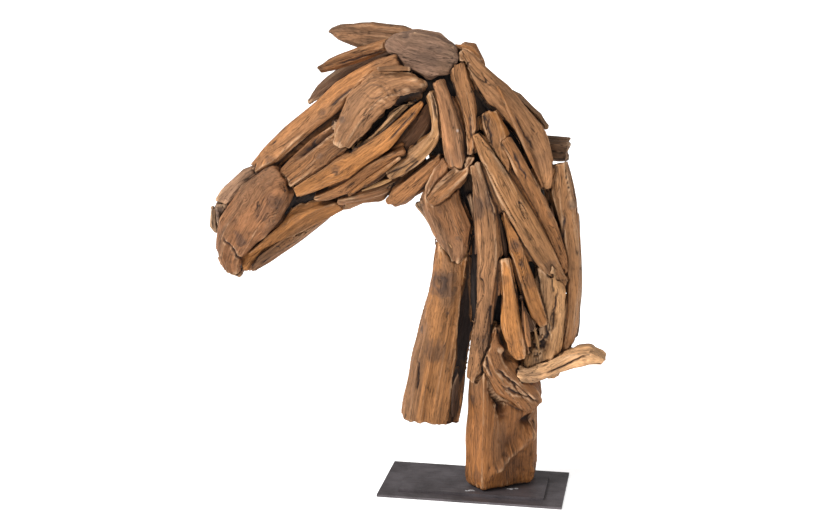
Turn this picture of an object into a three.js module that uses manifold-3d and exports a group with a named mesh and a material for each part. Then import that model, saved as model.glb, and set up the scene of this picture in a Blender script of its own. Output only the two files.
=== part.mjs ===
// Driftwood horse head: sticks, boards and roots of old teak fitted over blackened inner wood,
// on a trunk end that stands on two steel plates. Millimetres, +Z up. The muzzle points to -X,
// and the origin is the centre of the base plate's underside.
import * as THREE from 'three';
import Module from 'manifold-3d';
import { mergeVertices } from 'three/addons/utils/BufferGeometryUtils.js';

const wasm = await Module();
wasm.setup();

// Driving dimensions
const BASE_PLATE = { length: 394, breadth: 204, thick: 5 };
const UPPER_PLATE = { length: 312, breadth: 134, thick: 5, x: 0, y: -5 };
const PLATE_TOP = BASE_PLATE.thick + UPPER_PLATE.thick;
const GAP = 0.3; // left between fitted pieces
const SIDES = 8; // flats round a stick of the near side
const SLIM = 64; // a stick narrower than this, or on the far side, has fewer flats
const SLIM_SIDES = 6;
const SQUARENESS = 0.5; // 1 gives a round section, less gives a squarer one
const FLARE = 0.1; // how much wider a stick is at its back than at its face
const TAPER = 0.35; // how fast a stick thins where it narrows
const INNER = { reach: 0.74, breadth: 0.6 }; // inner wood, as shares of the form
const STEEPEST = 0.6; // greatest slope at which a stick lies on the form
const MARGIN = 18; // half breadth of the form past its edge

// The form under the sticks: points along the middle of the head and neck, the reach
// of the form to each side of them in the XZ plane, and its half breadth along Y.
const HEAD_FORM = [
  { x: -540, z: 535, reach: 58, breadth: 46 },
  { x: -465, z: 590, reach: 78, breadth: 58 },
  { x: -380, z: 660, reach: 100, breadth: 76 },
  { x: -270, z: 728, reach: 130, breadth: 98 },
  { x: -175, z: 805, reach: 140, breadth: 105 },
  { x: -100, z: 890, reach: 110, breadth: 82 },
];
const NECK_FORM = [
  { x: -100, z: 890, reach: 110, breadth: 82 },
  { x: -28, z: 798, reach: 130, breadth: 88 },
  { x: 36, z: 675, reach: 135, breadth: 98 },
  { x: 60, z: 528, reach: 145, breadth: 102 },
  { x: 65, z: 377, reach: 125, breadth: 98 },
  { x: 60, z: 200, reach: 80, breadth: 60 },
];

// Finishes
const finish = (color, roughness, metalness = 0) =>
  new THREE.MeshStandardMaterial({ color, roughness, metalness });
const ORANGE = finish(0xa5662f, 0.85);
const BROWN = finish(0x85572f, 0.88);
const GREY = finish(0x75563c, 0.9);
const PALE = finish(0xb88a58, 0.88);
const DARK = finish(0x4a3323, 0.92);
const BLACKENED = finish(0x1b1d26, 0.8);
const STEEL = finish(0x3a3b3f, 0.5, 0.7);

// Each stick runs from one end to the other in the XZ plane, with a bow to the left of its
// run and an S-shaped sway. Its widths are those of its rows, which lie closer together near
// its ends. Its face stands lift above the form, and side is -1 near or +1 far. Where y is
// given, it is the stick's middle instead. roll turns the section about the run, in degrees.
const BROW_AND_EYE = [
  ['brow_burl', ORANGE, { from: [-98, 868], to: [-266, 752], bow: -56, sway: -6,
    widths: [26, 62, 88, 78, 52, 38], thick: 50, lift: 10 }],
  ['orbit_stick', ORANGE, { from: [-89, 860], to: [-172, 682], bow: 46, sway: 5,
    widths: [26, 26, 26, 40, 34, 26], thick: 36, lift: 8 }],
  ['eye_strip', PALE, { from: [-250, 737], to: [-109, 859], bow: -2, sway: -5,
    widths: [12, 16, 20, 18, 14, 10], thick: 30, lift: -3 }],
];
const FACE = [
  ['nose_bar', ORANGE, { from: [-474, 690], to: [-158, 926], bow: 16, sway: -4,
    widths: [36, 54, 66, 62, 48, 34], thick: 50, lift: 4 }],
  ['cheek_board', ORANGE, { from: [-372, 648], to: [-101, 846], bow: -19, sway: 2,
    widths: [30, 40, 54, 46, 26, 12], thick: 40, lift: 4 }],
  ['face_board', BROWN, { from: [-392, 672], to: [-240, 790], bow: 4,
    widths: [60, 68, 78, 72, 60], thick: 44, lift: -2 }],
];
const MUZZLE = [
  ['muzzle_block', BROWN, { from: [-402, 690], to: [-530, 462], bow: -24, sway: 7,
    widths: [44, 76, 112, 94, 62, 44], thick: 64, lift: 8 }],
  ['nose_top', GREY, { from: [-548, 608], to: [-420, 694], bow: 12,
    widths: [40, 46, 52, 38, 22], thick: 66, y: 0 }],
  ['nostril_cap', GREY, { from: [-540, 608], to: [-540, 556], bow: -1,
    widths: [40, 46, 40, 26], thick: 50, y: -10 }],
  ['nostril_far', DARK, { from: [-574, 592], to: [-566, 542], bow: -6, sway: 2,
    widths: [16, 18, 20, 18], thick: 44, y: 25 }],
  ['lip_under', BROWN, { from: [-556, 492], to: [-512, 454], bow: -8,
    widths: [22, 26, 26, 18], thick: 56, y: 8 }],
  ['mouth_stick', ORANGE, { from: [-508, 472], to: [-278, 614], bow: 14, sway: -5,
    widths: [40, 50, 62, 62, 44, 24], thick: 48, lift: 2 }],
  ['chin_stick', BROWN, { from: [-488, 466], to: [-290, 620], bow: 2, sway: 2,
    widths: [22, 32, 32, 24, 16], thick: 62, y: 0 }],
];
const JAW = [
  ['jaw_strip', BROWN, { from: [-330, 634], to: [-140, 738], bow: -4, sway: -8,
    widths: [20, 26, 36, 32, 24, 20], thick: 36, lift: -2 }],
  ['jaw_bottom', ORANGE, { from: [-284, 628], to: [-128, 678], bow: -14,
    widths: [16, 34, 52, 46, 28], thick: 50, lift: 0 }],
  ['jaw_rear', BROWN, { from: [-176, 628], to: [-62, 728], bow: -2,
    widths: [20, 40, 50, 44, 24], thick: 48, y: [-34, -64] }],
  ['jaw_inner', DARK, { from: [-240, 648], to: [-140, 732], bow: 3,
    widths: [20, 34, 36, 26], thick: 34, lift: -20 }],
];
const POLL_AND_EARS = [
  ['poll_board', GREY, { from: [-186, 958], to: [-34, 922], bow: -5, sway: 2,
    widths: [16, 44, 84, 98, 62, 26], thick: 46, y: [-40, -50] }],
  ['ear_near', BROWN, { from: [-330, 898], to: [-155, 955], bow: 4,
    widths: [16, 28, 36, 34, 30], thick: 34, y: -25 }],
  ['ear_far', BROWN, { from: [-324, 972], to: [-140, 955], bow: 3, sway: -3,
    widths: [14, 36, 62, 56, 46], thick: 38, y: [45, 18] }],
  ['forelock_under', DARK, { from: [-364, 824], to: [-180, 936], bow: 10,
    widths: [10, 28, 46, 40, 26], thick: 44, y: 30 }],
];
const CREST = [
  ['jowl_stick', BROWN, { from: [-70, 886], to: [-36, 708], bow: 7,
    widths: [24, 30, 44, 54, 52, 48], thick: 44, lift: 8 }],
  ['poll_stick', BROWN, { from: [-32, 922], to: [-6, 738], bow: 10, sway: -2,
    widths: [36, 42, 48, 38, 26, 22], thick: 42, lift: 2 }],
  ['jowl_tongue', BROWN, { from: [-2, 740], to: [-84, 642], bow: 5,
    widths: [26, 44, 42, 22], thick: 44, y: [-70, -86] }],
  ['crest_board', GREY, { from: [-32, 942], to: [152, 668], bow: 33, sway: -8,
    widths: [30, 42, 56, 68, 50, 24], thick: 50, lift: 4 }],
  ['crest_strip', DARK, { from: [52, 858], to: [140, 784], bow: 8,
    widths: [14, 20, 20, 14], thick: 52, y: 2 }],
  ['crest_curl', BROWN, { from: [-34, 950], to: [8, 902], bow: 10, sway: 4,
    widths: [16, 20, 22, 16], thick: 46, y: 2 }],
  ['mane_under', DARK, { from: [-8, 903], to: [44, 812], bow: 3,
    widths: [20, 32, 34, 22], thick: 34, lift: -20 }],
];
const THROAT = [
  ['throat_leaf', ORANGE, { from: [-40, 716], to: [-38, 513], bow: -15, sway: -16,
    widths: [52, 56, 88, 90, 48, 18], thick: 42, y: [-74, -62] }],
  ['throat_edge', DARK, { from: [-116, 630], to: [-62, 530], bow: 4,
    widths: [26, 26, 26, 22], thick: 70, y: -15 }],
  ['throat_plank', ORANGE, { from: [-30, 570], to: [-92, 158], bow: 4, sway: 3,
    widths: [96, 98, 106, 112, 124, 124], thick: 66, y: [-38, -30], roll: -18 }],
];
const NECK = [
  ['neck_stick_2', GREY, { from: [5, 784], to: [196, 456], bow: 0,
    widths: [20, 34, 58, 60, 42, 26], thick: 46, lift: 6 }],
  ['neck_stick_1', BROWN, { from: [4, 722], to: [-8, 255], bow: 36, sway: 6,
    widths: [32, 38, 54, 54, 50, 50, 46, 36], thick: 44, lift: 4 }],
  ['neck_stick_3', BROWN, { from: [66, 772], to: [190, 490], bow: 13, sway: -2,
    widths: [34, 38, 46, 44, 30, 16], thick: 42, lift: 0 }],
  ['neck_stick_4', ORANGE, { from: [72, 636], to: [152, 388], bow: -6,
    widths: [24, 30, 42, 42, 34, 22], thick: 42, lift: 0 }],
  ['neck_stick_5', ORANGE, { from: [69, 530], to: [105, 312], bow: -4, sway: 3,
    widths: [26, 30, 42, 52, 46, 24], thick: 42, lift: 2 }],
  ['neck_stick_6', DARK, { from: [86, 500], to: [128, 372], bow: 0,
    widths: [22, 30, 34, 30], thick: 34, lift: -12 }],
  ['neck_under', DARK, { from: [-12, 656], to: [8, 530], bow: 12,
    widths: [24, 34, 32, 22], thick: 34, lift: -16 }],
  ['neck_slab', ORANGE, { from: [30, 824], to: [66, 700], bow: 2,
    widths: [44, 50, 56, 42, 26], thick: 38, lift: -2 }],
];
const BACK = [
  ['back_stick', ORANGE, { from: [162, 716], to: [184, 303], bow: 27, sway: -3,
    widths: [52, 54, 56, 44, 34, 32, 30, 28], thick: 54, y: -18 }],
  ['back_strip', DARK, { from: [200, 605], to: [208, 338], bow: 5,
    widths: [14, 16, 18, 18, 16], thick: 34, y: 14 }],
  ['back_block', GREY, { from: [118, 740], to: [182, 734], bow: -1,
    widths: [54, 52, 54, 54], thick: 58, y: 35 }],
];
const ROOTS = [
  ['swirl_root', ORANGE, { from: [50, 390], to: [124, 198], bow: -32, sway: -7,
    widths: [28, 40, 70, 84, 66, 46], thick: 80, y: [-60, -5] }],
  ['root_burl', PALE, { from: [130, 554], to: [136, 276], bow: 28, sway: 5,
    widths: [30, 54, 66, 82, 80], thick: 72, y: [-45, -22] }],
  ['root_beak', PALE, { from: [95, 272], to: [270, 308], bow: 13, sway: -10,
    widths: [44, 47, 48, 36, 16], thick: 70, y: -30 }],
];
const FAR_SIDE = [
  ['far_muzzle_board', BROWN, { from: [-548, 528], to: [-395, 650], bow: 4,
    widths: [70, 90, 104, 100, 84], thick: 50, side: 1 }],
  ['far_nose_bar', ORANGE, { from: [-430, 680], to: [-165, 880], bow: 7,
    widths: [58, 78, 76, 62], thick: 50, side: 1 }],
  ['far_cheek_board', BROWN, { from: [-420, 592], to: [-150, 790], bow: -6,
    widths: [50, 84, 92, 60], thick: 50, side: 1 }],
  ['far_jaw_board', ORANGE, { from: [-350, 596], to: [-110, 705], bow: -14,
    widths: [34, 68, 68, 44], thick: 50, side: 1 }],
  ['far_jowl_stick', BROWN, { from: [-110, 900], to: [-75, 640], bow: 8,
    widths: [84, 106, 100, 60], thick: 50, side: 1 }],
  ['far_neck_stick_1', ORANGE, { from: [-40, 850], to: [-10, 320], bow: 36,
    widths: [58, 80, 90, 76, 54], thick: 50, side: 1 }],
  ['far_neck_stick_2', GREY, { from: [40, 800], to: [66, 240], bow: 32,
    widths: [58, 74, 84, 78, 66], thick: 50, side: 1 }],
  ['far_neck_stick_3', BROWN, { from: [118, 700], to: [132, 290], bow: 30,
    widths: [44, 62, 72, 62, 48], thick: 50, side: 1 }],
];

// How far the form's surface stands from the XZ plane at a place
function skin(x, z) {
  let best = MARGIN;
  for (const form of [HEAD_FORM, NECK_FORM]) {
    for (let i = 0; i + 1 < form.length; i++) {
      const a = form[i];
      const b = form[i + 1];
      const run = { x: b.x - a.x, z: b.z - a.z };
      const along = ((x - a.x) * run.x + (z - a.z) * run.z) / (run.x ** 2 + run.z ** 2);
      const t = THREE.MathUtils.clamp(along, 0, 1);
      const off = Math.hypot(x - a.x - t * run.x, z - a.z - t * run.z);
      const share = off / THREE.MathUtils.lerp(a.reach, b.reach, t);
      const breadth = THREE.MathUtils.lerp(a.breadth, b.breadth, t);
      if (share < 1) best = Math.max(best, breadth * Math.sqrt(1 - share ** 2));
    }
  }
  return best;
}

// The form's outward direction at a place, no steeper than STEEPEST
function outward(x, z, side) {
  const step = 6;
  const slope = new THREE.Vector2(
    skin(x + step, z) - skin(x - step, z),
    skin(x, z + step) - skin(x, z - step),
  ).divideScalar(2 * step);
  slope.clampLength(0, STEEPEST);
  return new THREE.Vector3(-slope.x, side, -slope.y).normalize();
}

const between = (pair, t) =>
  Array.isArray(pair) ? THREE.MathUtils.lerp(pair[0], pair[1], t) : pair;

// Rows lie closer together near the ends of a stick
const spaced = (row, last) => (1 - Math.cos((Math.PI * row) / last)) / 2;

// The place, the outward direction and the size of a stick at one of its rows
function station(stick, row) {
  const t = spaced(row, stick.widths.length - 1);
  const from = new THREE.Vector2(...stick.from);
  const run = new THREE.Vector2(...stick.to).sub(from);
  const left = new THREE.Vector2(-run.y, run.x).normalize();
  const off = stick.bow * 4 * t * (1 - t) + (stick.sway ?? 0) * Math.sin(2 * Math.PI * t);
  const at = from.addScaledVector(run, t).addScaledVector(left, off);
  const width = stick.widths[row];
  const thick = stick.thick * (width / Math.max(...stick.widths)) ** TAPER;
  const side = stick.side ?? -1;
  if (stick.y !== undefined) {
    const middle = new THREE.Vector3(at.x, between(stick.y, t), at.y);
    return { middle, out: new THREE.Vector3(0, side, 0), width, thick };
  }
  const out = outward(at.x, at.y, side);
  const face = side * (skin(at.x, at.y) + (stick.lift ?? 0));
  const middle = new THREE.Vector3(at.x, face, at.y).addScaledVector(out, -thick / 2);
  return { middle, out, width, thick };
}

// The stations of a stick with the directions of their sections
function sections(stick) {
  const rows = stick.widths.length - 1;
  const list = stick.widths.map((_, row) => station(stick, row));
  return list.map((here, i) => {
    const before = list[Math.max(i - 1, 0)].middle;
    const after = list[Math.min(i + 1, rows)].middle;
    const along = after.clone().sub(before).normalize();
    const across = here.out.clone().cross(along).normalize();
    const roll = THREE.MathUtils.degToRad(stick.roll ?? 0);
    across.applyAxisAngle(along, roll);
    const out = along.clone().cross(across);
    return { ...here, along, across, out };
  });
}

const sidesOf = (stick) =>
  stick.side === 1 || Math.max(...stick.widths) < SLIM ? SLIM_SIDES : SIDES;

const squared = (value) => Math.sign(value) * Math.abs(value) ** SQUARENESS;

// A closed cylinder bent and swept into the sections, grown by a margin on every side
function sweep(list, sides, grow) {
  const rows = list.length - 1;
  const shape = new THREE.CylinderGeometry(1, 1, 1, sides, rows, false, Math.PI / sides);
  const place = shape.attributes.position;
  const point = new THREE.Vector3();
  for (let i = 0; i < place.count; i++) {
    point.fromBufferAttribute(place, i);
    const row = Math.round((0.5 - point.y) * rows);
    const { middle, along, across, out, width, thick } = list[row];
    const u = squared(point.x);
    const v = squared(point.z);
    const end = row === 0 ? -grow : row === rows ? grow : 0;
    point.copy(middle).addScaledVector(along, end);
    point.addScaledVector(across, u * (1 - FLARE * v) * (width / 2 + grow));
    point.addScaledVector(out, v * (thick / 2 + grow));
    place.setXYZ(i, point.x, point.y, point.z);
  }
  return shape;
}

// The blackened inner wood follows the form, smaller than it
function innerWood(form) {
  const last = form.length - 1;
  const out = new THREE.Vector3(0, -1, 0);
  return form.map(({ reach, breadth }, i) => {
    const before = form[Math.max(i - 1, 0)];
    const here = form[i];
    const after = form[Math.min(i + 1, last)];
    const along = new THREE.Vector3(after.x - before.x, 0, after.z - before.z).normalize();
    return {
      middle: new THREE.Vector3(here.x, 0, here.z),
      width: 2 * reach * INNER.reach,
      thick: 2 * breadth * INNER.breadth,
      along,
      across: out.clone().cross(along),
      out,
    };
  });
}

// The trunk end: a six-cornered section, seen from above, at each of its heights
function trunkSections() {
  const corners = [[24, -67], [124, 1], [130, 67], [56, 81], [-8, 39], [-15, -33]];
  const levels = [[PLATE_TOP, 0.9], [40, 1], [260, 0.98], [400, 0.7]];
  return { corners, levels };
}

function trunkGeometry(grow) {
  const { corners, levels } = trunkSections();
  const rows = levels.length - 1;
  const centre = corners.reduce((sum, c) => [sum[0] + c[0] / 6, sum[1] + c[1] / 6], [0, 0]);
  const shape = new THREE.CylinderGeometry(1, 1, 1, corners.length, rows);
  const place = shape.attributes.position;
  for (let i = 0; i < place.count; i++) {
    const radius = Math.hypot(place.getX(i), place.getZ(i));
    const turn = Math.atan2(place.getX(i), place.getZ(i)) / (2 * Math.PI);
    const corner = corners[(Math.round(turn * corners.length) + corners.length) % corners.length];
    const level = levels[Math.round((place.getY(i) + 0.5) * rows)];
    const away = [corner[0] - centre[0], corner[1] - centre[1]];
    const size = radius * (level[1] + grow / Math.hypot(...away));
    place.setXYZ(i, centre[0] + away[0] * size, centre[1] + away[1] * size, level[0]);
  }
  return shape;
}

// A geometry as a solid that can be cut
function solid(geometry) {
  geometry.deleteAttribute('normal');
  geometry.deleteAttribute('uv');
  const closed = mergeVertices(geometry, 1e-3);
  return new wasm.Manifold(new wasm.Mesh({
    numProp: 3,
    vertProperties: new Float32Array(closed.attributes.position.array),
    triVerts: new Uint32Array(closed.index.array),
  }));
}

// The largest body of a cut piece, without its chips
function largest(piece) {
  return piece.decompose().reduce((a, b) => (a.volume() > b.volume() ? a : b));
}

function meets(a, b) {
  const p = a.boundingBox();
  const q = b.boundingBox();
  return [0, 1, 2].every((k) => p.min[k] < q.max[k] && q.min[k] < p.max[k]);
}

function named(name, geometry, material) {
  geometry.computeVertexNormals();
  const mesh = new THREE.Mesh(geometry, material.clone());
  mesh.name = name;
  return mesh;
}

function meshOf(name, piece, material) {
  const { vertProperties, triVerts } = piece.getMesh();
  const geometry = new THREE.BufferGeometry();
  geometry.setAttribute('position', new THREE.BufferAttribute(vertProperties, 3));
  geometry.setIndex(new THREE.BufferAttribute(triVerts, 1));
  return named(name, geometry, material);
}

// All pieces of wood in the order in which they are fitted: a later one is cut by the earlier
function woodPieces() {
  const piece = (name, material, shape) => ({
    name,
    material,
    exact: solid(shape(0)),
    grown: solid(shape(GAP)),
  });
  const inner = (name, form) => piece(name, BLACKENED, (grow) => sweep(innerWood(form), SLIM_SIDES, grow));
  const outer = ([name, material, stick]) =>
    piece(name, material, (grow) => sweep(sections(stick), sidesOf(stick), grow));
  return [
    inner('neck_inner_wood', NECK_FORM.slice(0, -1)),
    inner('head_inner_wood', HEAD_FORM),
    ...BROW_AND_EYE.map(outer),
    ...FACE.map(outer),
    ...MUZZLE.map(outer),
    ...JAW.map(outer),
    ...POLL_AND_EARS.map(outer),
    ...CREST.map(outer),
    ...THROAT.map(outer),
    ...NECK.map(outer),
    ...BACK.map(outer),
    ...ROOTS.map(outer),
    ...FAR_SIDE.map(outer),
    piece('foot_block', ORANGE, trunkGeometry),
  ];
}

function fitted(pieces) {
  return pieces.map(({ name, material, exact }, i) => {
    const neighbours = pieces.slice(0, i).filter((other) => meets(other.grown, exact));
    const cut = neighbours.reduce((rest, other) => rest.subtract(other.grown), exact);
    return meshOf(name, largest(cut), material);
  });
}

function plate(name, { length, breadth, thick }, place) {
  const mesh = named(name, new THREE.BoxGeometry(length, breadth, thick), STEEL);
  mesh.position.set(...place);
  return mesh;
}

const horseHead = new THREE.Group();
horseHead.add(plate('base_plate', BASE_PLATE, [0, 0, BASE_PLATE.thick / 2]));
const upperMiddle = BASE_PLATE.thick + UPPER_PLATE.thick / 2;
horseHead.add(plate('upper_plate', UPPER_PLATE, [UPPER_PLATE.x, UPPER_PLATE.y, upperMiddle]));
horseHead.add(...fitted(woodPieces()));

export default horseHead;
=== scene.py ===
"""Driftwood horse head on its steel stand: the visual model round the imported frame. Metres, +Z up."""
import math

import bmesh
import bpy
import numpy as np
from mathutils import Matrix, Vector
from mathutils.bvhtree import BVHTree


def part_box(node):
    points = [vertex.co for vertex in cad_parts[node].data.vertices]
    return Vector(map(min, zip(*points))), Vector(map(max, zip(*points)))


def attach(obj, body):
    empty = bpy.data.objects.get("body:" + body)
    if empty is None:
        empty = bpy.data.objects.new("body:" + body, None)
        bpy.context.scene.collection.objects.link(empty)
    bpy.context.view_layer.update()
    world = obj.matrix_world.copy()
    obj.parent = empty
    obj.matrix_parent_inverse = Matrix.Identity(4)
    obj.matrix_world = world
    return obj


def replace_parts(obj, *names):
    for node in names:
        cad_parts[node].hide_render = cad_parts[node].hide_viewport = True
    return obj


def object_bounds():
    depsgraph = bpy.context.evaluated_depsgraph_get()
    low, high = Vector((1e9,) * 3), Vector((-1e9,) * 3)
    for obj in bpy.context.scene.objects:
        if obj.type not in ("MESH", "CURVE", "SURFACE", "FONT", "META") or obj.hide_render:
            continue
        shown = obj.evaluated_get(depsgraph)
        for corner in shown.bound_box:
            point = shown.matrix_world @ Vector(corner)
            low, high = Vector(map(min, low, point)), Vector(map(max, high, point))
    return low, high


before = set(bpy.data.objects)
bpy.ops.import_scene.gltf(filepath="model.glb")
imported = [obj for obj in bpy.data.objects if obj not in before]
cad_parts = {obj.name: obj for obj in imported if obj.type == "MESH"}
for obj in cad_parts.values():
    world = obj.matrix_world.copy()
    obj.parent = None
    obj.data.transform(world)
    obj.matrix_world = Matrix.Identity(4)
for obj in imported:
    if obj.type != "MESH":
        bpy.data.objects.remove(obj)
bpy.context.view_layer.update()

# ---- camera and stage ----
CAMERA_AT = (0.4094, -3.0258, 1.2109)
CAMERA_LOOKS_AT = (-0.147, -0.003, 0.490)
LENS_MM = 65.87

# ---- mesh ----
NEAR_VOXEL = 0.0022
FAR_VOXEL = 0.0040
INNER_VOXEL = 0.006
SLIVER_VOXEL = 0.0015
EDGE_WEAR_PASSES = 1
SHUT_PASSES = 3  # of smoothing over how shut in the points are
RIDGE_PASSES = 8  # of smoothing for the surface that ridges and hollows are told from
FULLNESS = 0.0004  # puts back what the rounding of the edges takes away
EROSION = 0.0034  # how far a surface sinks where another stands against it
FULL_RELIEF_THICKNESS = 0.03  # thinner pieces have less relief, in proportion
KEPT_SHARE = 0.52  # the ratio asked of the thinning
HIDDEN_PREFERENCE = 8.0  # how much sooner the thinning takes hidden faces

# ---- colours of the wood, as they look in daylight ----
ORANGE = (160, 105, 55)
BROWN = (145, 97, 57)
GREY = (132, 99, 73)
PALE = (198, 150, 100)
DARK = (92, 63, 43)
# The inner wood's tone, near black, behind the gaps between the pieces
NEAR_BLACK = (50, 40, 35)
# Near black, for the painted shade in cracks and between pieces
PAINTED_SHADE = (26, 24, 27)
# Pale worn wood, also the painted highlight along ridges
WEAR_AND_HIGHLIGHT = (212, 172, 134)
# Dark marks: the colour of knots, stains and figure, and of the painted shade in splits, dents and pits
SPOT = (72, 56, 52)
BLEACHED = (190, 178, 168)

SLOT_OF = {
    "orange_teak": (
        "brow_burl orbit_stick nose_bar cheek_board mouth_stick jaw_bottom throat_leaf throat_plank"
        " neck_stick_4 neck_stick_5 neck_slab back_stick swirl_root foot_block far_nose_bar"
        " far_jaw_board far_neck_stick_1"
    ),
    "brown_teak": (
        "face_board muzzle_block lip_under chin_stick jaw_strip jaw_rear ear_near ear_far jowl_stick"
        " jowl_tongue poll_stick crest_curl neck_stick_1 neck_stick_3 far_muzzle_board far_cheek_board"
        " far_jowl_stick far_neck_stick_3"
    ),
    "grey_teak": "nostril_cap nose_top poll_board crest_board neck_stick_2 back_block far_neck_stick_2",
    "pale_root": "eye_strip root_burl root_beak",
    "dark_teak": (
        "nostril_far jaw_inner forelock_under crest_strip mane_under throat_edge neck_stick_6"
        " neck_under back_strip"
    ),
    "blackened_wood": "neck_inner_wood head_inner_wood",
}
SLOT_TONE = {
    "orange_teak": ORANGE,
    "brown_teak": BROWN,
    "grey_teak": GREY,
    "pale_root": PALE,
    "dark_teak": DARK,
    "blackened_wood": NEAR_BLACK,
}

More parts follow.
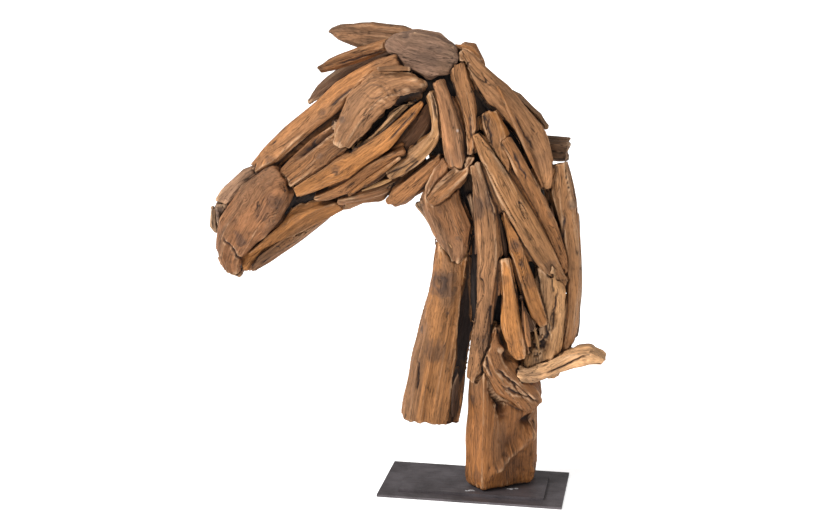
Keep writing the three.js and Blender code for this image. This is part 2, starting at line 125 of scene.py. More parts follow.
# Marks on the near face of a piece. A mark lies at its share of the way along X and up
# Z of the box of its piece; a split, a ridge or a plane has two such ends. Then come its radius or half
# width and its depth or height, in metres, or how strong it is for a knot, a stain or a pale spot. A
# plane has the slope of its cut and the depth where the cut starts instead.
MARKS = {
    "muzzle_block": [
        ("knot", 0.8, 0.7, 0.020, 0.5),
        ("stain", 0.35, 0.35, 0.014, 0.5),
        ("dent", 0.3, 0.5, 0.010, 0.005),
        ("stain", 0.65, 0.6, 0.020, 0.3),
        ("split", 0.15, 0.35, 0.35, 0.1, 0.002, 0.005),
        ("split", 0.45, 0.15, 0.65, 0.35, 0.002, 0.005),
    ],
    "nose_bar": [
        ("knot", 0.15, 0.15, 0.013, 0.55),
        ("knot", 0.5, 0.55, 0.008, 0.6),
        ("split", 0.55, 0.6, 0.7, 0.75, 0.002, 0.003),
        ("ridge", 0.25, 0.35, 0.7, 0.8, 0.009, 0.004),
        ("split", 0.3, 0.2, 0.65, 0.55, 0.006, 0.024),
    ],
    "face_board": [
        ("knot", 0.5, 0.5, 0.009, 0.5),
        ("split", 0.25, 0.55, 0.65, 0.85, 0.002, 0.003),
        ("ridge", 0.45, 0.75, 0.75, 0.7, 0.006, 0.004),
        ("split", 0.2, 0.45, 0.8, 1.0, 0.006, 0.022),
    ],
    "cheek_board": [
        ("knot", 0.35, 0.3, 0.011, 0.6),
        ("split", 0.45, 0.2, 0.7, 0.5, 0.002, 0.004),
        ("split", 0.75, 0.6, 0.95, 0.9, 0.002, 0.004),
    ],
    "mouth_stick": [
        ("knot", 0.6, 0.7, 0.008, 0.35),
        ("split", 0.35, 0.3, 0.65, 0.55, 0.003, 0.008),
    ],
    "brow_burl": [
        ("knot", 0.1, 0.4, 0.009, 0.7),
        ("ridge", 0.15, 0.6, 0.25, 0.85, 0.007, 0.004),
        ("ridge", 0.25, 0.85, 0.55, 1.05, 0.007, 0.005),
        ("figure", 0.5, 0.75, 0.030, 0.0008),
        ("dent", 0.95, 0.7, 0.014, 0.030),
        ("dent", 0.8, 0.6, 0.015, 0.034),
        ("dent", 0.65, 0.45, 0.014, 0.030),
        ("dent", 0.5, 0.3, 0.010, 0.022),
    ],
    "poll_board": [
        ("knot", 0.3, 0.9, 0.009, 0.6),
        ("stain", 0.55, 0.45, 0.030, 0.2),
        ("knot", 0.75, 0.6, 0.005, 0.4),
    ],
    "ear_near": [
        ("split", 0.25, 0.25, 0.8, 0.65, 0.002, 0.005),
        ("stain", 0.35, 0.05, 0.014, 0.3),
    ],
    "ear_far": [
        ("ridge", 0.15, 0.65, 0.6, 0.95, 0.007, 0.003),
    ],
    "jowl_stick": [
        ("pale", 0.7, 0.45, 0.003, 0.6),
        ("stain", 0.55, 0.15, 0.018, 0.25),
        ("ridge", 0.75, 0.85, 0.85, 0.35, 0.004, 0.003),
    ],
    "poll_stick": [
        ("knot", 0.7, 0.85, 0.007, 0.4),
        ("split", 0.7, 0.45, 0.8, 0.2, 0.002, 0.003),
    ],
    "crest_board": [
        ("split", 0.6, 0.55, 0.8, 0.3, 0.002, 0.004),
        ("stain", 0.85, 0.2, 0.030, 0.25),
    ],
    "neck_stick_1": [
        ("knot", 0.85, 0.5, 0.008, 0.6),
        ("split", 0.6, 0.9, 0.8, 0.75, 0.002, 0.004),
        ("stain", 0.35, 0.8, 0.024, 0.55),
        ("dent", 0.5, 0.2, 0.020, 0.008),
    ],
    "neck_stick_2": [
        ("stain", 0.8, 0.2, 0.014, 0.4),
    ],
    "neck_stick_3": [
        ("knot", 0.75, 0.45, 0.008, 0.5),
        ("split", 0.25, 0.9, 0.45, 0.7, 0.002, 0.003),
    ],
    "neck_stick_4": [
        ("knot", 0.3, 0.7, 0.012, 0.75),
        ("stain", 0.45, 0.55, 0.007, 0.6),
        ("stain", 0.6, 0.4, 0.014, 0.3),
    ],
    "neck_stick_5": [
        ("stain", 0.2, 0.8, 0.012, 0.3),
        ("dent", 0.4, 0.15, 0.014, 0.008),
    ],
    "throat_plank": [
        ("knot", 0.55, 0.75, 0.032, 0.75),
        ("stain", 0.3, 0.5, 0.008, 0.7),
        ("stain", 0.65, 0.6, 0.007, 0.6),
        ("stain", 0.5, 0.4, 0.026, 0.45),
        ("split", 0.3, 0.35, 0.25, 0.2, 0.002, 0.008),
        ("plane", 0.9, 0.9, 0.6, 0.05, 1.25, 0.002),
    ],
    "throat_leaf": [
        ("knot", 0.7, 0.25, 0.006, 0.6),
        ("knot", 0.4, 0.5, 0.006, 0.3),
    ],
    "back_stick": [
        ("knot", 0.75, 0.8, 0.012, 0.6),
        ("bump", 0.85, 0.8, 0.012, 0.005),
        ("split", 0.55, 0.75, 0.5, 0.55, 0.002, 0.003),
    ],
    "root_burl": [
        ("pits", 0.15, 0.35, 0.022, 0.009),
        ("pits", 0.35, 0.25, 0.022, 0.009),
        ("dent", 0.75, 0.45, 0.012, 0.008),
        ("dent", 0.55, 0.25, 0.014, 0.010),
        ("split", 0.45, 0.6, 0.65, 0.3, 0.003, 0.008),
        ("split", 0.8, 0.65, 0.7, 0.35, 0.002, 0.006),
        ("bump", 0.9, 0.65, 0.016, 0.007),
        ("stain", 0.45, 0.1, 0.020, 0.35),
        ("stain", 0.25, 0.35, 0.030, 0.4),
    ],
    "root_beak": [
        ("split", 0.35, 0.35, 0.9, 1.0, 0.002, 0.006),
        ("stain", 0.15, 0.25, 0.030, 0.45),
        ("dent", 0.8, 1.0, 0.012, 0.006),
    ],
    "swirl_root": [
        ("ridge", 0.35, 0.7, 0.5, 0.75, 0.007, 0.010),
        ("ridge", 0.5, 0.75, 0.7, 0.65, 0.007, 0.010),
        ("dent", 0.55, 0.65, 0.012, 0.012),
        ("split", 0.35, 0.5, 0.65, 0.3, 0.003, 0.008),
        ("split", 0.45, 0.3, 0.95, 0.15, 0.003, 0.008),
        ("split", 0.15, 0.7, 0.25, 0.4, 0.002, 0.005),
    ],
    "foot_block": [
        ("knot", 0.1, 0.55, 0.009, 0.6),
        ("dent", 0.9, 0.4, 0.014, 0.022),
        ("ridge", 0.4, 0.1, 1.05, 0.35, 0.010, 0.012),
        ("dent", 0.75, 0.15, 0.026, 0.010),
        ("dent", 0.65, 0.3, 0.018, 0.008),
        ("stain", 0.2, 0.1, 0.016, 0.4),
        ("dent", 0.95, 0.55, 0.014, 0.012),
        ("split", 0.4, 0.7, 0.55, 0.45, 0.009, 0.032),
        ("split", 0.6, 0.6, 0.75, 0.5, 0.004, 0.016),
    ],
    "nostril_cap": [
        ("stain", 0.55, 0.55, 0.020, 0.6),
        ("dent", 0.5, 0.5, 0.012, 0.010),
    ],
    "nose_top": [
        ("split", 0.4, 0.1, 0.75, 0.5, 0.002, 0.003),
    ],
    "chin_stick": [
        ("split", 0.15, 0.15, 0.55, 0.4, 0.002, 0.004),
    ],
    "jaw_bottom": [
        ("split", 0.7, 0.4, 0.8, 0.7, 0.002, 0.004),
    ],
    "orbit_stick": [
        ("stain", 0.5, 0.25, 0.010, 0.5),
        ("split", 0.8, 1.0, 0.9, 0.7, 0.002, 0.006),
        ("split", 0.35, 0.1, 0.6, 0.25, 0.002, 0.004),
    ],
    "neck_slab": [
        ("split", 0.35, 0.9, 0.5, 0.4, 0.002, 0.004),
    ],
}

# Slivers too slight for the solids: the piece each lies on, its two ends as shares of
# that piece's box, how deep its middle lies behind that box's near face, its width, its thickness, in
# metres, and its finish.
SLIVERS = {
    "brow_splinter": ("brow_burl", 0.5, 1.05, 0.85, 1.05, 0.010, 0.011, 0.012, "orange_teak"),
    "eye_hollow_board": ("orbit_stick", 0.8, 0.8, 0.1, 0.15, 0.036, 0.052, 0.020, "dark_teak"),
    "jaw_sliver_upper": ("jaw_strip", 0.4, 0.15, 0.95, 0.8, 0.004, 0.010, 0.012, "orange_teak"),
    "jaw_sliver_lower": ("jaw_bottom", 0.35, 0.4, 0.8, 0.8, 0.002, 0.010, 0.012, "pale_root"),
    "eye_sliver": ("eye_strip", 0.3, 0.2, 0.8, 0.75, 0.004, 0.008, 0.012, "dark_teak"),
    "leaf_sliver": ("throat_leaf", 0.1, 0.55, 0.6, 0.15, 0.012, 0.007, 0.012, "pale_root"),
    "crest_chip": ("crest_board", 0.0, 1.0, 0.25, 0.9, 0.050, 0.030, 0.034, "brown_teak"),
    "neck_sliver_1": ("neck_stick_4", -0.05, 0.95, 0.15, 0.55, 0.016, 0.012, 0.014, "dark_teak"),
    "neck_sliver_2": ("neck_stick_5", 0.8, 0.6, 1.1, 0.15, 0.014, 0.013, 0.014, "brown_teak"),
    "burl_sliver_1": ("root_burl", 0.05, 0.5, 0.2, 0.2, 0.006, 0.010, 0.014, "brown_teak"),
    "burl_sliver_2": ("root_burl", 0.3, 0.45, 0.45, 0.2, 0.006, 0.009, 0.014, "pale_root"),
    "crest_sliver": ("crest_board", 0.45, 0.75, 0.9, 0.05, 0.004, 0.008, 0.012, "brown_teak"),
    "plank_sliver": ("throat_plank", 0.7, 0.05, 0.75, 0.3, 0.030, 0.014, 0.020, "dark_teak"),
}

# How much of the usual cracking a piece shows, where it is smoother than the rest
CRACKING = {
    "poll_board": 0.0,
    "brow_burl": 0.2,
    "muzzle_block": 0.3,
    "foot_block": 0.4,
    "throat_plank": 0.5,
}

# Pieces whose colour stands out from the rest of their slot
OWN_TONE = {
    "crest_board": (156, 110, 72),
    "neck_stick_2": (160, 112, 70),
    "neck_stick_1": (154, 108, 70),
    "foot_block": (132, 84, 43),
    "swirl_root": (134, 88, 50),
    "throat_leaf": (140, 94, 58),
    "nose_bar": (165, 110, 63),
    "nose_top": (172, 132, 102),
    "jowl_stick": (148, 103, 68),
    "poll_board": (128, 98, 78),
    "muzzle_block": (134, 89, 55),
    "poll_stick": (154, 106, 66),
    "back_stick": (146, 102, 64),
    "orbit_stick": (170, 124, 80),
    "brow_burl": (150, 106, 70),
    "throat_plank": (152, 102, 58),
    "jaw_inner": (96, 66, 46),
    "root_burl": (176, 130, 86),
    "root_beak": (196, 150, 106),
    "nostril_cap": (104, 78, 60),
    "ear_far": (136, 97, 66),
    "crest_strip": (132, 95, 64),
    "jaw_bottom": (146, 100, 64),
}


def linear(colour):
    """A colour of 0 to 255 a channel as linear light."""
    c = np.asarray(colour, float) / 255
    return np.where(c <= 0.04045, c / 12.92, ((c + 0.055) / 1.055) ** 2.4)


# ---- noise ----
HASH_X, HASH_Y, HASH_Z, HASH_SEED = 374761393, 668265263, 1103515245, 1274126177
HASH_MASK = 0xFFFFF
NOISE_GAIN = 1.35


def lattice(i, j, k, seed):
    """A repeatable random number from -1 to 1 for each lattice point."""
    h = i * HASH_X + j * HASH_Y + k * HASH_Z + seed * HASH_SEED
    h = (h ^ (h >> 13)) * HASH_SEED
    h = h ^ (h >> 16)
    return (h & HASH_MASK) / (HASH_MASK / 2) - 1


def corner_weight(f, axis, step):
    return f[:, axis] if step else 1 - f[:, axis]


def noise(points, seed):
    """Smooth noise from about -1 to 1 at each point."""
    cell = np.floor(points).astype(np.int64)
    f = points - cell
    f = f * f * f * (f * (f * 6 - 15) + 10)
    value = np.zeros(len(points))
    for dx in (0, 1):
        for dy in (0, 1):
            for dz in (0, 1):
                weight = corner_weight(f, 0, dx) * corner_weight(f, 1, dy) * corner_weight(f, 2, dz)
                value += weight * lattice(cell[:, 0] + dx, cell[:, 1] + dy, cell[:, 2] + dz, seed)
    return value * NOISE_GAIN


def ramp(x, low, high):
    """0 below low, 1 above high, and smooth between."""
    t = np.clip((x - low) / (high - low), 0, 1)
    return t * t * (3 - 2 * t)


# ---- meshes as arrays ----
def remeshed(name, plain, voxel):
    """A dense closed mesh of the same shape as a plain one."""
    copy = bpy.data.objects.new(name + "_dense", plain)
    bpy.context.scene.collection.objects.link(copy)
    modifier = copy.modifiers.new("dense", "REMESH")
    modifier.mode = "VOXEL"
    modifier.voxel_size = voxel
    graph = bpy.context.evaluated_depsgraph_get()
    mesh = bpy.data.meshes.new_from_object(copy.evaluated_get(graph))
    bpy.data.objects.remove(copy)
    return mesh


def points_of(mesh):
    p = np.zeros(len(mesh.vertices) * 3)
    mesh.vertices.foreach_get("co", p)
    return p.reshape(-1, 3)


def put_points(mesh, points):
    mesh.vertices.foreach_set("co", points.ravel())
    mesh.update()


def normals_of(mesh):
    n = np.zeros(len(mesh.vertices) * 3)
    mesh.vertex_normals.foreach_get("vector", n)
    return n.reshape(-1, 3)


def edges_of(mesh):
    e = np.zeros(len(mesh.edges) * 2, np.int64)
    mesh.edges.foreach_get("vertices", e)
    return e.reshape(-1, 2)


def averaged(values, edges, passes, share=0.6):
    """Values at the vertices, each drawn towards its neighbours' mean."""
    count = len(values)
    a = np.concatenate([edges[:, 0], edges[:, 1]])
    b = np.concatenate([edges[:, 1], edges[:, 0]])
    degree = np.maximum(np.bincount(a, minlength=count), 1)
    flat = values.reshape(count, -1).copy()
    for _ in range(passes):
        for c in range(flat.shape[1]):
            mean = np.bincount(a, weights=flat[b, c], minlength=count) / degree
            flat[:, c] += share * (mean - flat[:, c])
    return flat.reshape(values.shape)


# ---- the way the grain runs ----
FAR_SIDE_FROM = 0.02  # pieces whose middle lies beyond this Y face away


def straightened(t, values):
    """Values with their cubic trend along a piece taken away."""
    bend = np.stack([np.ones_like(t), t, t * t, t**3], 1)
    return values - bend @ np.linalg.lstsq(bend, values, rcond=None)[0]


def grain_of(points):
    """Each point's place along, across and through its piece, in metres, following the piece's bend."""
    centre = points.mean(0)
    moved = points - centre
    axes = np.linalg.eigh(moved.T @ moved)[1]
    along = axes[:, 2]
    if along[2] + 0.3 * along[0] < 0:
        along = -along
    out = np.array([0.0, -1.0, 0.0])
    if centre[1] > FAR_SIDE_FROM:
        out = -out
    out = out - along * (out @ along)
    out /= np.linalg.norm(out)
    across = np.cross(along, out)
    u = moved @ along
    half = max(u.max(), -u.min())
    v = straightened(u / half, moved @ across)
    w = straightened(u / half, moved @ out)
    return np.stack([u, v, w], 1), half


# ---- relief ----
# Each layer's height in metres, and how often it changes along, across and through the grain, a metre
HEWN = (0.0030, (7, 20, 20))
HEWN_FINE = (0.0014, (18, 45, 45))
CREASES = (0.0028, (4, 48, 48))
RIBS = (0.0012, (6, 95, 95))
FINE_RIBS = (0.0008, (12, 210, 210))
RAGGED_ENDS = (0.0026, (9, 140, 140))
CRACK_WANDER = (0.005, (16, 5, 5))
CREASE_LEVEL = 0.45  # taken off the creases so that they neither fatten nor thin a piece
CRACK_DEPTH = 0.0040
CRACK_WIDTH = 0.075  # of the noise that places the cracks
CRACKS_ALONG, CRACKS_ACROSS = 3, 75
CRACKED_AREAS = (7, 24, 24)
END_FROM = 0.78  # of a piece's half length


def layer(kind, at, seed):
    height, often = kind
    return height * noise(at * often, seed)


def cracks(at, seed):
    """Noise that is 0 on wandering lines along the grain, and how far each area is open to cracks."""
    wander = layer(CRACK_WANDER, at, seed + 4)
    across = (at[:, 1] + wander) * CRACKS_ACROSS
    through = (at[:, 2] + wander) * CRACKS_ACROSS
    line = noise(np.stack([at[:, 0] * CRACKS_ALONG, across, through], 1), seed + 5)
    where = ramp(noise(at * CRACKED_AREAS, seed + 6), 0.2, 0.5)
    return line, where


def relief(g, half, cracking, seed):
    """How far each point stands above the plain surface, in metres, and how deep in a crack it is."""
    at = g + seed * 0.37
    hewn = layer(HEWN, at, seed) + layer(HEWN_FINE, at, seed + 1)
    creases = CREASES[0] * (CREASE_LEVEL - np.abs(noise(at * CREASES[1], seed + 8)))
    ribs = layer(RIBS, at, seed + 2) + layer(FINE_RIBS, at, seed + 3)
    line, where = cracks(at, seed)
    crack = cracking * np.exp(-((line / CRACK_WIDTH) ** 2)) * where
    end = ramp(np.abs(g[:, 0]) / half, END_FROM, 1.0)
    ragged = end * RAGGED_ENDS[0] * noise(at * RAGGED_ENDS[1], seed + 7)
    return hewn + creases + ribs + ragged + FULLNESS - CRACK_DEPTH * crack, crack


# ---- marks ----
DEPTH_COST = 0.4  # of a point behind the near face, against one off to the side
PLANE_BAND = 0.006  # either side of a plane's line, where the near face is found
PLANE_LIMIT = 0.05  # the most that a plane cuts away
LED_SHARE = 0.85  # how fully the grain runs round a knot
KNOT_REACH = 2.2  # radii
RING_SPACING = 0.42  # radii
LEAST_RING_SPACING = 0.003
KNOT_RELIEF = 0.0012
PIT_SPACING = 170  # a metre
FIGURE_WAVE = 0.0105
FIGURE_ARCH = 9  # how much the waves curve, a metre
# A dent is darkened by its depth, as painted shade
DENT_DARKNESS = 45  # a metre of depth
DARKEST_DENT = 0.95


def share_of_box(name, across, up):
    """The place in the XZ plane at shares of the way across and up a piece's box."""
    low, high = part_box(name)
    return np.array([low.x + across * (high.x - low.x), low.z + up * (high.z - low.z)])


def facing(points, place, radius):
    """The point of the near face at a place in the XZ plane."""
    off = np.hypot(points[:, 0] - place[0], points[:, 2] - place[1])
    depth = points[:, 1] - points[:, 1].min()
    cost = off + DEPTH_COST * depth + np.where(off > radius, off, 0.0)
    return int(np.argmin(cost))


def off_line(points, a, b):
    """Each point's distance in the XZ plane from the line between two places, and its share along it."""
    p = points[:, [0, 2]] - a
    run = b - a
    t = np.clip(p @ run / (run @ run), 0, 1)
    return np.linalg.norm(p - t[:, None] * run, axis=1), t


def planed(name, points):
    """The points with the near face cut back to the right of each line marked as a plane."""
    for kind, *sizes in MARKS.get(name, []):
        if kind != "plane":
            continue
        a = share_of_box(name, sizes[0], sizes[1])
        b = share_of_box(name, sizes[2], sizes[3])
        slope, start = sizes[4:]
        run = (b - a) / np.linalg.norm(b - a)
        right = (points[:, [0, 2]] - a) @ np.array([-run[1], run[0]])
        face = points[np.abs(right) < PLANE_BAND, 1].min()
        points = points.copy()
        cut = np.where(right > 0, face + start + slope * right, -1.0)
        points[:, 1] = np.maximum(points[:, 1], np.minimum(cut, points[:, 1] + PLANE_LIMIT))
    return points


def darken(skin, amount):
    skin["spot"] = np.maximum(skin["spot"], amount)


def put_split(skin, points, ends, radius, depth, near_face, seed):
    """A crack that sways between two places, darkened inside as painted shade."""
    t = off_line(points, *ends)[1]
    sway = 0.0012 * noise(points * 150, seed + 31) + 0.0018 * noise(points * 60, seed + 32)
    off = off_line(points + sway[:, None], *ends)[0]
    here = near_face * line_strength(off, t, radius)
    skin["rise"] -= depth * here
    darken(skin, here)


def put_ridge(skin, points, ends, radius, height, near_face):
    """A rounded ridge between two places."""
    off, t = off_line(points, *ends)
    skin["rise"] += height * (near_face * line_strength(off, t, radius))


def line_strength(off, t, radius):
    """How strongly a line acts at a distance from it, from 0 to 1, fading to its ends."""
    taper = ramp(t, 0.0, 0.15) * ramp(1 - t, 0.0, 0.15)
    return np.exp(-((off / radius) ** 2)) * (0.3 + 0.7 * taper)


def put_knot(skin, g, middle, away, here, radius, amount):
    """Dark rings, with the grain led round them."""
    pull = np.exp(-((away / (KNOT_REACH * radius)) ** 2))
    skin["led"][:, 1] -= LED_SHARE * (g[:, 1] - g[middle, 1]) * pull
    rings = 0.5 + 0.5 * np.cos(away * 2 * math.pi / max(radius * RING_SPACING, LEAST_RING_SPACING))
    darken(skin, amount * ramp(here, 0.2, 0.75) * (0.6 + 0.4 * rings))
    skin["rise"] += KNOT_RELIEF * here * (rings - 0.4)


def put_pits(skin, points, here, depth, seed):
    """Small ragged holes, darkened inside as painted shade."""
    holes = ramp(noise(points * PIT_SPACING, seed + 35), 0.15, 0.45) * ramp(here, 0.15, 0.6)
    skin["rise"] -= depth * holes
    darken(skin, 0.9 * holes)


def put_figure(skin, points, here, height, seed):
    """Waves in the wood that run round an arch."""
    off_middle = points[:, 0] - points[:, 0].mean()
    wavy = points[:, 2] + FIGURE_ARCH * off_middle**2 + 0.007 * noise(points * 40, seed + 36)
    waves = np.sin(wavy * 2 * math.pi / FIGURE_WAVE)
    skin["rise"] += height * waves * here
    darken(skin, 0.6 * ramp(-waves, 0.2, 1.0) * here)


def put_round_mark(skin, kind, points, g, place, radius, amount, seed):
    """A mark round one place on the near face."""
    middle = facing(points, place, radius)
    away = np.linalg.norm(points - points[middle], axis=1) * (1 + 0.25 * noise(points * 90, seed + 33))
    here = np.exp(-((away / radius) ** 2))
    if kind == "knot":
        put_knot(skin, g, middle, away, here, radius, amount)
    elif kind == "stain":
        darken(skin, amount * ramp(here + 0.2 * noise(g * (60, 160, 160), seed + 34), 0.25, 0.7))
    elif kind == "pale":
        skin["pale"] = np.maximum(skin["pale"], amount * ramp(here, 0.3, 0.8))
    elif kind == "pits":
        put_pits(skin, points, here, amount, seed)
    elif kind == "figure":
        put_figure(skin, points, here, amount, seed)
    elif kind == "dent":
        # Painted shade in the dent, darker where deeper
        skin["rise"] -= amount * here
        darken(skin, min(DARKEST_DENT, amount * DENT_DARKNESS) * here)
    elif kind == "bump":
        skin["rise"] += amount * here


def marked(name, points, normals, g, seed):
    """What the marks of a piece do: its rise, dark spots, pale spots, and the grain led round its knots."""
    skin = {kind: np.zeros(len(points)) for kind in ("rise", "spot", "pale")}
    skin["led"] = g.copy()
    near_face = ramp(-normals[:, 1], 0.1, 0.5)
    for kind, *sizes in MARKS.get(name, []):
        a = share_of_box(name, sizes[0], sizes[1])
        if kind in ("split", "ridge"):
            ends = (a, share_of_box(name, sizes[2], sizes[3]))
            if kind == "split":
                put_split(skin, points, ends, *sizes[4:], near_face, seed)
            else:
                put_ridge(skin, points, ends, *sizes[4:], near_face)
        elif kind != "plane":
            put_round_mark(skin, kind, points, g, a, *sizes[2:], seed)
    return skin


def slot_of(name):
    for slot, names in SLOT_OF.items():
        if name in names.split():
            return slot
    raise ValueError(name)


# ---- surroundings ----
def all_walls():
    """Every CAD face, for finding what stands close to a surface."""
    corners, faces = [], []
    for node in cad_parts.values():
        first = len(corners)
        corners += [v.co.copy() for v in node.data.vertices]
        faces += [tuple(first + i for i in p.vertices) for p in node.data.polygons]
    return BVHTree.FromPolygons(corners, faces)


REACH = 0.026
LIFT = 0.0016  # from the surface to where the feelers start
TILT = 0.9  # how far the outer feelers lean from the surface's own direction
FEELER_SHARE = 0.2


def feelers(normal):
    """Directions over a surface: its own, and four that lean from it."""
    side = normal.orthogonal().normalized()
    other = normal.cross(side)
    leaning = [normal + TILT * d for d in (side, -side, other, -other)]
    return [normal] + [d.normalized() for d in leaning]


def closeness(points, normals):
    """How shut in each point is by what stands close to it, from 0 to 1."""
    shut = np.zeros(len(points))
    for i in range(len(points)):
        normal = Vector(normals[i])
        start = Vector(points[i]) + normal * LIFT
        for feeler in feelers(normal):
            hit = walls.ray_cast(start, feeler, REACH)
            if hit[0] is not None:
                shut[i] += FEELER_SHARE * (1 - hit[3] / REACH)
    return shut


# ---- colour ----
# How strong each change of colour is, and how often it changes along, across and through the grain
BROAD_SHADE = (0.2, (5, 22, 22))
FINE_SHADE = (0.16, (11, 80, 80))
GREYING = (0.45, (7, 26, 26))
EDGE_WEAR_AND_HIGHLIGHT = (0.62, (9, 30, 30))
OWN_SHADE = 0.12
HOLLOW_SHADE = 0.4
CRACK_SHADE = 0.85
# How far the painted shade between pieces darkens the points that other pieces shut in
JOINT_SHADE = 0.96
RIDGE_FROM, RIDGE_TO = 0.0003, 0.0015
HOLLOW_FROM, HOLLOW_TO = 0.0003, 0.0016


def mixed(a, b, share):
    return a + (b - a) * share[:, None]


def wood_colour(name, slot, at, seed):
    """The clean wood's colour at each point, with its lighter, darker and greyer parts."""
    colour = np.tile(linear(OWN_TONE.get(name, SLOT_TONE[slot])), (len(at), 1))
    own = 1 + OWN_SHADE * math.sin(seed * 1.7)
    shade = own + layer(BROAD_SHADE, at, seed + 11) + layer(FINE_SHADE, at, seed + 12)
    grey = GREYING[0] * ramp(noise(at * GREYING[1], seed + 13), 0.1, 0.75)
    return mixed(colour * shade[:, None], linear(GREY) * 0.75, grey)


def tint_of(name, slot, g, seed, ridge, crack, shut, skin):
    """The colour of each point before its fine streaks, with painted shade in hollows, cracks, dents and
    between pieces, and a painted highlight on ridges.
    """
    at = g + seed * 0.91
    colour = wood_colour(name, slot, at, seed)
    if slot != "blackened_wood":
        # Lighter on ridges where no piece stands close: wear on the edges, and a painted highlight along
        # them
        worn = ramp(noise(at * EDGE_WEAR_AND_HIGHLIGHT[1], seed + 14), -0.5, 0.5)
        open_air = ramp(0.3 - shut, 0.0, 0.2)
        colour = mixed(colour, linear(WEAR_AND_HIGHLIGHT), EDGE_WEAR_AND_HIGHLIGHT[0] * worn * ramp(ridge, RIDGE_FROM, RIDGE_TO) * open_air)
    # Painted shade in the hollows of the surface
    colour = mixed(colour, colour * HOLLOW_SHADE, ramp(-ridge, HOLLOW_FROM, HOLLOW_TO))
    colour = mixed(colour, linear(BLEACHED), skin["pale"])
    # Dark marks: knots, stains and figure, with painted shade in splits, dents and pits
    colour = mixed(colour, linear(SPOT) * 0.6, skin["spot"])
    # Painted shade in the cracks
    colour = mixed(colour, linear(PAINTED_SHADE), CRACK_SHADE * ramp(crack, 0.25, 0.9))
    # Painted shade between pieces: darker where other pieces stand close
    return mixed(colour, linear(PAINTED_SHADE), JOINT_SHADE * ramp(shut, 0.2, 0.5))


def colour_attribute(mesh, name, values):
    layer = mesh.attributes.new(name, "FLOAT_COLOR", "POINT")
    layer.data.foreach_set("color", np.column_stack([values, np.ones(len(values))]).ravel())


def vector_attribute(mesh, name, values):
    layer = mesh.attributes.new(name, "FLOAT_VECTOR", "POINT")
    layer.data.foreach_set("vector", values.ravel())


# ---- materials ----
def add(tree, kind, inputs=None, **settings):
    """A new shader node. An input is a number, a colour or another node's output."""
    node = tree.nodes.new("ShaderNode" + kind)
    for key, value in settings.items():
        setattr(node, key, value)
    for key, value in (inputs or {}).items():
        if isinstance(value, bpy.types.NodeSocket):
            tree.links.new(value, node.inputs[key])
        else:
            node.inputs[key].default_value = value
    return node


def blank_material(name):
    material = bpy.data.materials.new(name)
    material.use_nodes = True
    tree = material.node_tree
    tree.nodes.clear()
    return material, tree


def streak(tree, source, scale, detail=3.0, rough=0.6):
    """Noise drawn out along the grain."""
    placed = add(tree, "Mapping", {"Vector": source, "Scale": scale})
    made = add(
        tree,
        "TexNoise",
        {"Vector": placed.outputs[0], "Scale": 1.0, "Detail": detail, "Roughness": rough},
    )
    return made.outputs["Fac"]


def spread(tree, value, low, high, to_low, to_high):
    """A value carried from one range to another, and held at its ends."""
    made = add(
        tree,
        "MapRange",
        {"Value": value, "From Min": low, "From Max": high, "To Min": to_low, "To Max": to_high},
    )
    return made.outputs[0]


def sum_of(tree, *terms):
    """The sum of values, each times its weight."""
    total = None
    for value, weight in terms:
        part = add(tree, "Math", {0: value, 1: weight}, operation="MULTIPLY").outputs[0]
        if total is None:
            total = part
        else:
            total = add(tree, "Math", {0: total, 1: part}, operation="ADD").outputs[0]
    return total


def multiplied(tree, colour, value):
    """A colour with every channel times a value."""
    made = add(tree, "VectorMath", {0: colour, 3: value}, operation="SCALE")
    return made.outputs[0]


def thin_lines(tree, source, scale, width):
    """1 on thin wandering lines drawn out along the grain, 0 elsewhere."""
    value = streak(tree, source, scale, 2.0, 0.55)
    off = add(tree, "Math", {0: value, 1: 0.5}, operation="SUBTRACT").outputs[0]
    size = add(tree, "Math", {0: off}, operation="ABSOLUTE").outputs[0]
    return spread(tree, size, 0.0, width, 1.0, 0.0)


# How often each layer of the look changes along, across and through the grain, a metre
BANDS = (6, 240, 240)
FIBRES = (24, 850, 850)
CLOUDS = (26, 70, 70)
CHECKED_AREAS = (9, 40, 40)
CHECKS = (9, 130, 130)
PORES = (90, 1300, 1300)
LEAST_LIGHT = 0.12


